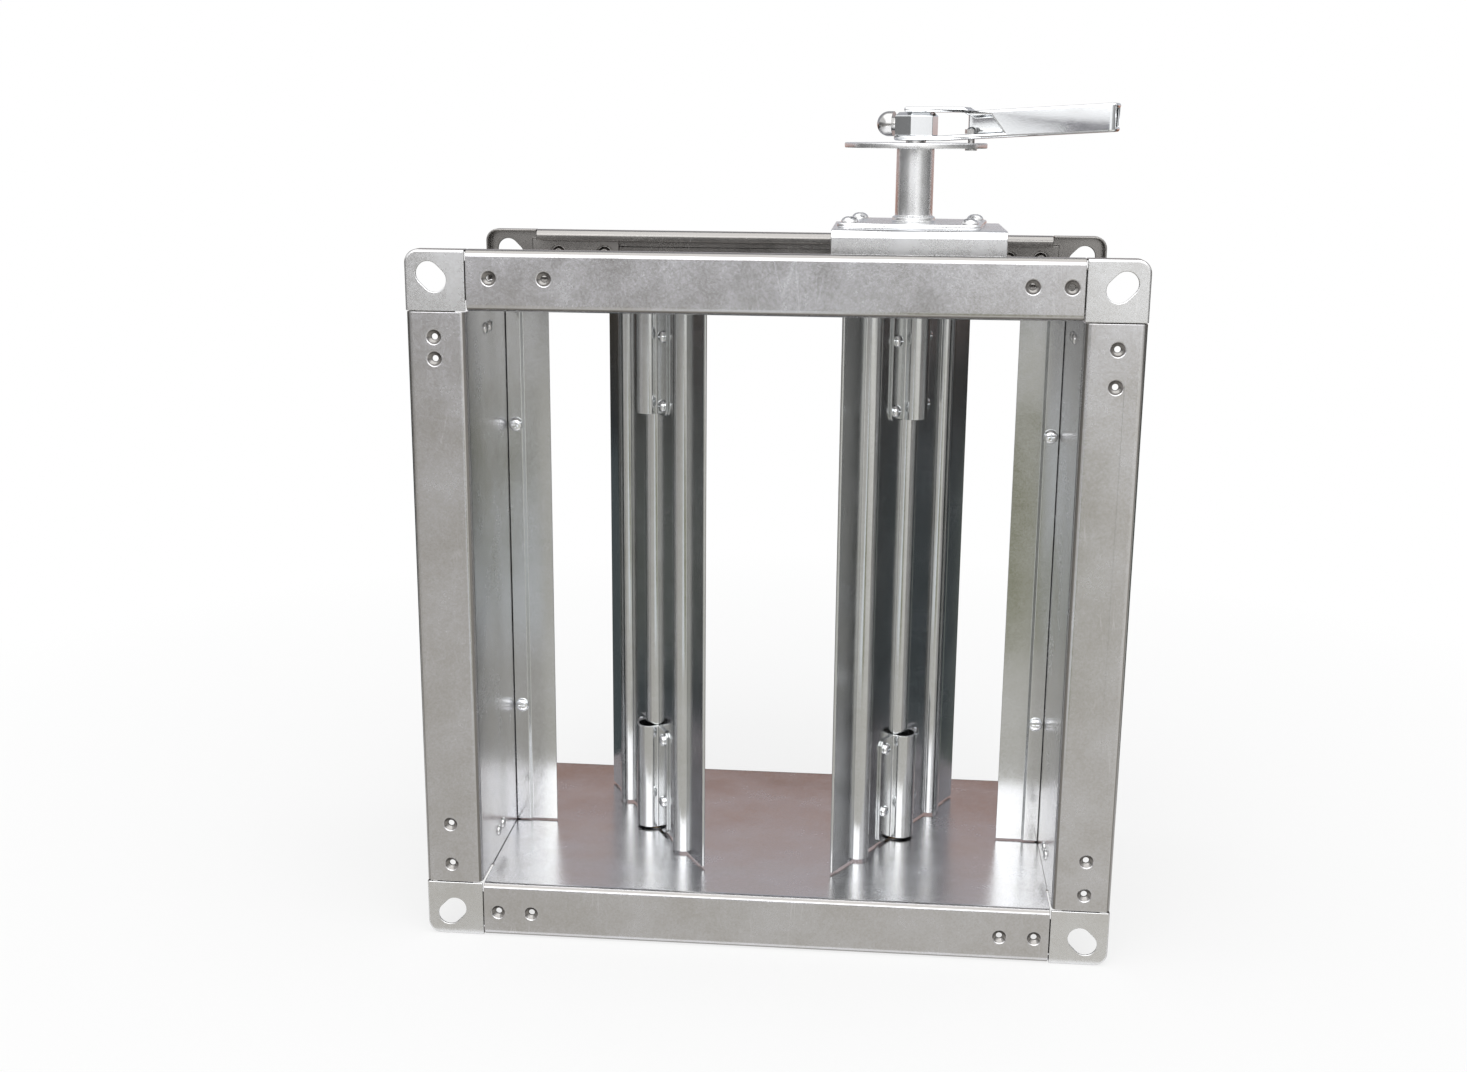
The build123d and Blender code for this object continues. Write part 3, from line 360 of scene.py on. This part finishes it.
# %% [markdown]
# ### Scratches and painted shade
# A Voronoi texture stretched a long way in one direction has long thin cells, and their borders
# look like scratches. Three of them, turned differently, are kept only in scattered patches. The
# channel between the two flanges is darkened as painted shade. Its mask is read from the place
# alone: outside the duct's walls and between the flange faces.

# %% Scratches from handling
scratches, place, end = pattern_group("handling scratches", "Scratch")
scratch_rows = (
    ((0, 0.5, 0), (26, 26, 3)),
    ((0.3, -0.9, 0.2), (34, 30, 4)),
    ((0, 1.35, 0.3), (30, 30, 3)),
)
scratch_edge, scratch_core = 0.008, 0.002
patches_per_metre = 34
marks = None
for turn, cells_per_metre in scratch_rows:
    mapping = new_node(scratches, "ShaderNodeMapping")
    mapping.inputs["Rotation"].default_value = turn
    mapping.inputs["Scale"].default_value = cells_per_metre
    scratches.links.new(place, mapping.inputs["Vector"])
    edges = new_node(scratches, "ShaderNodeTexVoronoi", feature="DISTANCE_TO_EDGE")
    edges.inputs["Scale"].default_value = 1
    scratches.links.new(mapping.outputs[0], edges.inputs["Vector"])
    line = ramp_between(scratches, edges.outputs["Distance"], scratch_edge, scratch_core)
    marks = line if marks is None else combine(scratches, "MAXIMUM", marks, line)
patches = ramp_between(scratches, noise(scratches, place, patches_per_metre, detail=2), 0.58, 0.66)
scratches.links.new(combine(scratches, "MULTIPLY", marks, patches), end.inputs["Scratch"])
print("pattern group:", scratches.name)

# %% Painted shade in the channel between the flanges
duct_middle = 0.2125
taller_by = 0.0025
flange_inside = (0.1046, 0.1044)
wall_outside = (0.1780, 0.1785)
channel_painted_shade, place, end = pattern_group("channel painted shade", "Painted shade")
parts = new_node(channel_painted_shade, "ShaderNodeSeparateXYZ")
channel_painted_shade.links.new(place, parts.inputs[0])
along = combine(channel_painted_shade, "ABSOLUTE", parts.outputs["Y"], 0)
across = combine(channel_painted_shade, "ABSOLUTE", parts.outputs["X"], 0)
rise = combine(channel_painted_shade, "SUBTRACT", parts.outputs["Z"], duct_middle)
height = combine(channel_painted_shade, "ABSOLUTE", rise, 0)
from_axis = combine(channel_painted_shade, "MAXIMUM", combine(channel_painted_shade, "ADD", across, taller_by), height)
between = ramp_between(channel_painted_shade, along, *flange_inside)
outside = ramp_between(channel_painted_shade, from_axis, *wall_outside)
channel_painted_shade.links.new(combine(channel_painted_shade, "MULTIPLY", outside, between), end.inputs["Painted shade"])
print("pattern group:", channel_painted_shade.name)

# %% [markdown]
# ## Sheet, plate, steel, rivets and bronze
# One function makes all the zinc finishes, because they differ only in colour, gloss and the
# strength of the crystals. The metal stays fully metallic. Colour, roughness and bump come from the
# pattern groups.

# %% Zinc finishes
bare_lift = 1.2
# Dark grey of the painted shade in the channel between the flanges.
painted_shade_colour = (0.30, 0.29, 0.28)
dents_per_metre = 22
mottle_relief = 0.04


def zinc_finish(name, warm, cool, gloss, shares, dent, scratch_share=0.0, painted_channel_shade=False):
    """Zinc-coated steel: warm and cool are its two greys, gloss its lowest and highest roughness."""
    material = bpy.data.materials.new(name)
    material.use_nodes = True
    tree = material.node_tree
    shader = tree.nodes["Principled BSDF"]
    shader.inputs["Metallic"].default_value = 1.0
    bloom = new_node(tree, "ShaderNodeGroup", node_tree=zinc_bloom)
    mottle = None
    for output, share in zip(("Crystal", "Cloud", "Grain"), shares):
        part = combine(tree, "MULTIPLY", bloom.outputs[output], share)
        mottle = part if mottle is None else combine(tree, "ADD", mottle, part)
    coloured = mix_colours(tree, mottle, warm, cool)
    if scratch_share > 0:
        scratch = new_node(tree, "ShaderNodeGroup", node_tree=scratches)
        bare = tuple(min(1.0, value * bare_lift) for value in cool)
        faint = combine(tree, "MULTIPLY", scratch.outputs["Scratch"], scratch_share)
        coloured = mix_colours(tree, faint, coloured, bare)
    # Painted shade: the channel between the flanges is mixed towards a dark grey.
    if painted_channel_shade:
        channel = new_node(tree, "ShaderNodeGroup", node_tree=channel_painted_shade)
        coloured = mix_colours(tree, channel.outputs["Painted shade"], coloured, painted_shade_colour)
    tree.links.new(coloured, shader.inputs["Base Color"])
    rough = new_node(tree, "ShaderNodeMapRange")
    rough.inputs["To Min"].default_value = gloss[0]
    rough.inputs["To Max"].default_value = gloss[1]
    tree.links.new(mottle, rough.inputs["Value"])
    tree.links.new(rough.outputs[0], shader.inputs["Roughness"])
    place = new_node(tree, "ShaderNodeTexCoord").outputs["Object"]
    dents = noise(tree, place, dents_per_metre, detail=1)
    height = combine(tree, "ADD", dents, combine(tree, "MULTIPLY", mottle, mottle_relief))
    bump = new_node(tree, "ShaderNodeBump")
    bump.inputs["Strength"].default_value = 1.0
    bump.inputs["Distance"].default_value = dent
    tree.links.new(height, bump.inputs["Height"])
    tree.links.new(bump.outputs[0], shader.inputs["Normal"])
    return material


sheet_shares = (0.15, 0.5, 0.35)
plain_shares = (0.15, 0.6, 0.25)
# The rails and the corner pieces carry the painted shade in the channel between the flanges.
rail_zinc = zinc_finish(
    "galvanised rail", (0.60, 0.588, 0.578), (0.73, 0.73, 0.762), (0.19, 0.29), sheet_shares, 0.0005,
    scratch_share=0.35, painted_channel_shade=True,
)
corner_zinc = zinc_finish(
    "pressed corner zinc", (0.73, 0.725, 0.72), (0.84, 0.85, 0.87), (0.22, 0.32), sheet_shares, 0.0004,
    scratch_share=0.5, painted_channel_shade=True,
)
blade_zinc = zinc_finish(
    "rolled blade zinc", (0.62, 0.63, 0.62), (0.72, 0.735, 0.75), (0.12, 0.20), sheet_shares, 0.0002,
)
plate_zinc = zinc_finish(
    "bracket zinc", (0.79, 0.79, 0.79), (0.88, 0.89, 0.91), (0.22, 0.34), plain_shares, 0.0002,
)
bright_zinc = zinc_finish(
    "bright zinc plate", (0.82, 0.83, 0.84), (0.92, 0.94, 0.96), (0.08, 0.16), plain_shares, 0.0003,
)
drawn_steel = zinc_finish(
    "drawn steel", (0.44, 0.43, 0.42), (0.56, 0.56, 0.56), (0.16, 0.26), plain_shares, 0.0001,
)
rivet_metal = zinc_finish(
    "rivet metal", (0.70, 0.70, 0.70), (0.80, 0.80, 0.81), (0.18, 0.28), plain_shares, 0.0001,
)
bush_bronze = zinc_finish(
    "sintered bronze", (0.42, 0.26, 0.11), (0.52, 0.34, 0.17), (0.34, 0.46), plain_shares, 0.0001,
)
print("finishes:", len(bpy.data.materials))

# %% [markdown]
# ## Finishes on the CAD pieces
# Each piece gets its finish by a word in its name. The first word that fits decides.

# %% Choose the finishes
finish_by_word = (
    ("rivets", rivet_metal),
    ("bush", bush_bronze),
    ("screws", bright_zinc),
    ("nuts", bright_zinc),
    ("_panel", rail_zinc),
    ("_corner_", corner_zinc),
    ("stop_", blade_zinc),
    ("strap", blade_zinc),
    ("crank_pin", bright_zinc),
    ("crank", drawn_steel),
    ("_shaft", drawn_steel),
    ("_clip", bright_zinc),
    ("_blade", blade_zinc),
    ("link_bar", drawn_steel),
    ("link_guide", plate_zinc),
    ("handle_bracket", plate_zinc),
    ("standoff", plate_zinc),
    ("quadrant", plate_zinc),
    ("lever", bright_zinc),
    ("clamp", drawn_steel),
    ("lock", drawn_steel),
)
finish_of = {name: next(finish for word, finish in finish_by_word if word in name) for name in nodes}
for name, node in nodes.items():
    node.material_slots[0].material = finish_of[name]
print("pieces with a finish:", len(finish_of))

# %% [markdown]
# ## Soft edges
# A sheared or folded edge is never perfectly sharp, and the thin bright line along it is what tells
# the eye that it is metal. The CAD shape is copied, its doubled points are merged, and a Bevel
# modifier rounds every edge sharper than a given angle. A Weighted Normal modifier keeps the flat
# faces flat.

# %% Round the edges of sheet and plate
merge_distance = 1e-6
flat_angle = radians(0.5)
smooth_angle = radians(30)
sharp_angle = radians(35)


def stand_in(piece, name):
    """Let a finished piece take the place of a CAD node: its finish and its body."""
    piece.data.materials.clear()
    piece.data.materials.append(finish_of[name])
    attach(piece, body_of(nodes[name])[0])
    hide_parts(name)


def softened(name, width):
    """Copy of a CAD node with its sharp edges rounded to a width in metres."""
    piece = bpy.data.objects.new("soft_" + name, nodes[name].data.copy())
    bpy.context.scene.collection.objects.link(piece)
    bpy.ops.object.select_all(action="DESELECT")
    piece.select_set(True)
    bpy.context.view_layer.objects.active = piece
    bpy.ops.mesh.customdata_custom_splitnormals_clear()
    bpy.ops.object.mode_set(mode="EDIT")
    bpy.ops.mesh.select_all(action="SELECT")
    bpy.ops.mesh.remove_doubles(threshold=merge_distance)
    bpy.ops.mesh.dissolve_limited(angle_limit=flat_angle)
    bpy.ops.object.mode_set(mode="OBJECT")
    bpy.ops.object.shade_smooth_by_angle(angle=smooth_angle)
    bevel = piece.modifiers.new("soft edges", "BEVEL")
    bevel.width = width
    bevel.segments = 2
    bevel.limit_method = "ANGLE"
    bevel.angle_limit = sharp_angle
    bevel.use_clamp_overlap = False
    flat = piece.modifiers.new("flat faces", "WEIGHTED_NORMAL")
    flat.keep_sharp = False
    bpy.ops.object.modifier_apply(modifier=bevel.name)
    bpy.ops.object.modifier_apply(modifier=flat.name)
    return piece


edge_by_word = (
    ("_panel", 0.0004),
    ("_corner_", 0.0005),
    ("stop_strip", 0.00025),
    ("stop_angle", 0.00025),
    ("_strap_nuts", 0.0004),
    ("front_strap", 0.0003),
    ("back_strap", 0.0003),
    ("handle_bracket", 0.0005),
    ("quadrant_plate", 0.0005),
    ("link_guide", 0.0004),
    ("link_bar", 0.0004),
    ("lever_hub", 0.0004),
    ("lever", 0.0013),
)
edge_by_name = {
    "standoff": 0.0008,
    "left_crank": 0.0004,
    "right_crank": 0.0004,
    "left_blade": 0.0002,
    "right_blade": 0.0002,
}
softened_count = 0
for name in nodes:
    width = next((width for word, width in edge_by_word if word in name), edge_by_name.get(name))
    if width is not None:
        stand_in(softened(name, width), name)
        softened_count += 1
print("pieces with soft edges:", softened_count)

# %% [markdown]
# ## Fasteners
# A blind rivet, a pan-head screw and the like are turned shapes. Each is drawn once as a circle
# that is extruded upwards ring by ring, every ring scaled to its own radius. Copies then go
# wherever the CAD model has one.

# %% Turned pieces
def turned_piece(name, steps, sides=24):
    """Round piece from (radius, height) steps in metres, drawn upwards from its foot."""
    bpy.ops.object.select_all(action="DESELECT")
    bpy.ops.mesh.primitive_circle_add(vertices=sides, radius=steps[0][0], fill_type="NGON")
    piece = bpy.context.object
    piece.name = name
    bpy.ops.object.mode_set(mode="EDIT")
    bpy.ops.mesh.select_all(action="SELECT")
    bpy.ops.transform.translate(value=(0, 0, steps[0][1]))
    for (radius, height), (next_radius, next_height) in zip(steps, steps[1:]):
        bpy.ops.mesh.extrude_region_move(TRANSFORM_OT_translate={"value": (0, 0, next_height - height)})
        growth = next_radius / radius
        bpy.ops.transform.resize(value=(growth, growth, 1), center_override=(0, 0, next_height))
    bpy.ops.mesh.select_all(action="SELECT")
    bpy.ops.mesh.normals_make_consistent(inside=False)
    bpy.ops.object.mode_set(mode="OBJECT")
    bpy.ops.object.shade_smooth_by_angle(angle=sharp_angle)
    return piece


def millimetres(*steps):
    """Steps given in millimetres, as metres."""
    return [(radius / 1000, height / 1000) for radius, height in steps]


def blind_rivet(name, grip, head_radius, head_height):
    """Blind rivet from its set tail to its domed head, with the hole of the mandrel."""
    tail_height, shank_radius = 0.8, 2.0
    tail = [(2.3, 0.0), (2.75, 0.12), (2.9, 0.4), (2.9, tail_height)]
    base = tail_height + grip
    shank = [(shank_radius, tail_height), (shank_radius, base)]
    outer_dome = ((1.0, 0.0), (1.0, 0.12), (0.94, 0.40), (0.80, 0.68), (0.58, 0.90), (0.36, 1.0))
    mandrel_hole = ((0.28, 0.97), (0.24, 0.5))
    head = [(head_radius * across, base + head_height * rise) for across, rise in outer_dome + mandrel_hole]
    return turned_piece(name, millimetres(*tail, *shank, *head))


def cross_cut(screw, top, reach, depth):
    """Cut a cross recess into the top of a screw head with two crossed bars."""
    bar_width = 0.3 * reach
    for turn in (0, 90):
        bpy.ops.object.select_all(action="DESELECT")
        bpy.ops.mesh.primitive_cube_add(size=1, location=(0, 0, top), rotation=(0, 0, radians(turn)))
        bar = bpy.context.object
        bar.scale = (2 * reach, bar_width, 2 * depth)
        bpy.context.view_layer.objects.active = screw
        cut = screw.modifiers.new("cross recess", "BOOLEAN")
        cut.operation = "DIFFERENCE"
        cut.object = bar
        bpy.ops.object.modifier_apply(modifier=cut.name)
        bpy.ops.object.select_all(action="DESELECT")
        bar.select_set(True)
        bpy.ops.object.delete()
    return screw


print("turning helpers ready")

# %% [markdown]
# ### Where the copies go
# The CAD node of a set of rivets holds one solid for each rivet. A copy of that node is parted into
# its loose solids, and each gives a place: the foot of its axis and the way its head points. The
# modelled rivet is copied to every place, and the copies are joined into one piece for the node.

# %% Copies where the CAD model has them
def solid_places(name, heading):
    """Frame of each solid in a CAD node: its foot, with Z along the heading of that solid."""
    copy = bpy.data.objects.new("parting_copy", nodes[name].data.copy())
    bpy.context.scene.collection.objects.link(copy)
    bpy.ops.object.select_all(action="DESELECT")
    copy.select_set(True)
    bpy.context.view_layer.objects.active = copy
    bpy.ops.object.mode_set(mode="EDIT")
    bpy.ops.mesh.select_all(action="SELECT")
    bpy.ops.mesh.remove_doubles(threshold=merge_distance)
    bpy.ops.mesh.separate(type="LOOSE")
    bpy.ops.object.mode_set(mode="OBJECT")
    places = []
    for solid in bpy.context.selected_objects:
        points = [vertex.co for vertex in solid.data.vertices]
        turn = Vector(heading(points[0])).to_track_quat("Z", "Y").to_matrix()
        turned = [turn.transposed() @ point for point in points]
        low = Vector([min(point[axis] for point in turned) for axis in range(3)])
        high = Vector([max(point[axis] for point in turned) for axis in range(3)])
        foot = Vector(((low.x + high.x) / 2, (low.y + high.y) / 2, low.z))
        places.append(Matrix.Translation(turn @ foot) @ turn.to_4x4())
    bpy.ops.object.delete()
    return places


def copies_at(piece, name, heading):
    """Put one copy of a fastener at each solid of a CAD node, join them, and remove the pattern."""
    places = solid_places(name, heading)
    copies = []
    for place in places:
        copy = bpy.data.objects.new(piece.name, piece.data.copy())
        bpy.context.scene.collection.objects.link(copy)
        copy.matrix_world = place
        copies.append(copy)
    bpy.ops.object.select_all(action="DESELECT")
    piece.select_set(True)
    bpy.ops.object.delete()
    for copy in copies:
        copy.select_set(True)
    bpy.context.view_layer.objects.active = copies[0]
    bpy.ops.object.transform_apply(location=True, rotation=True, scale=True)
    bpy.ops.object.join()
    joined = bpy.context.object
    joined.name = "modelled_" + name
    stand_in(joined, name)
    print(name, "copies:", len(places))


def inward(point):
    """From a side wall towards the middle of the duct."""
    return (-1, 0, 0) if point.x > 0 else (1, 0, 0)


def upward(point):
    """From the top panel towards the lever."""
    return (0, 0, 1)


def frontward(point):
    """From a stop strip towards the front flange."""
    return (0, -1, 0)


copies_at(blind_rivet("corner_rivet", 2.5, 3.6, 1.8), "corner_rivets", inward)
copies_at(blind_rivet("stop_rivet", 2.7, 3.6, 1.8), "stop_rivets", inward)
copies_at(blind_rivet("web_rivet", 3.2, 3.6, 1.8), "web_rivets", upward)
copies_at(blind_rivet("plate_rivet", 5.0, 5.2, 3.4), "standoff_rivets", upward)

# %% [markdown]
# ## Screws
# The screws of the stop strips and of the shaft straps have domed heads with a cross recess, which
# two crossed bars cut by a Boolean modifier. The tips of the strap screws show a little thread.

# %% Stop screws and strap screws
stop_shank = ((1.2, 0.0), (2.0, 0.7), (2.0, 5.7))
stop_head = ((4.6, 5.7), (4.6, 6.1), (4.3, 7.0), (3.6, 7.8), (2.5, 8.3), (1.2, 8.5))
stop_screw = turned_piece("stop_screw", millimetres(*stop_shank, *stop_head))
cross_cut(stop_screw, top=0.0085, reach=0.0022, depth=0.0012)
copies_at(stop_screw, "stop_screws", frontward)

strap_thread = ((1.9, 0.0), (2.5, 0.5), (2.1, 0.9), (2.5, 1.3), (2.1, 1.7), (2.5, 2.1))
strap_shank = ((2.5, 10.0),)
strap_head = ((4.0, 10.0), (4.0, 10.4), (3.75, 11.3), (3.1, 12.1), (2.1, 12.6), (1.0, 12.8))
blade_fronts = {"left": (-0.866, -0.5, 0), "right": (0.866, -0.5, 0)}
for side, blade_front in blade_fronts.items():
    strap_screw = turned_piece("strap_screw", millimetres(*strap_thread, *strap_shank, *strap_head))
    cross_cut(strap_screw, top=0.0128, reach=0.0018, depth=0.0011)
    copies_at(strap_screw, side + "_strap_screws", lambda point: blade_front)
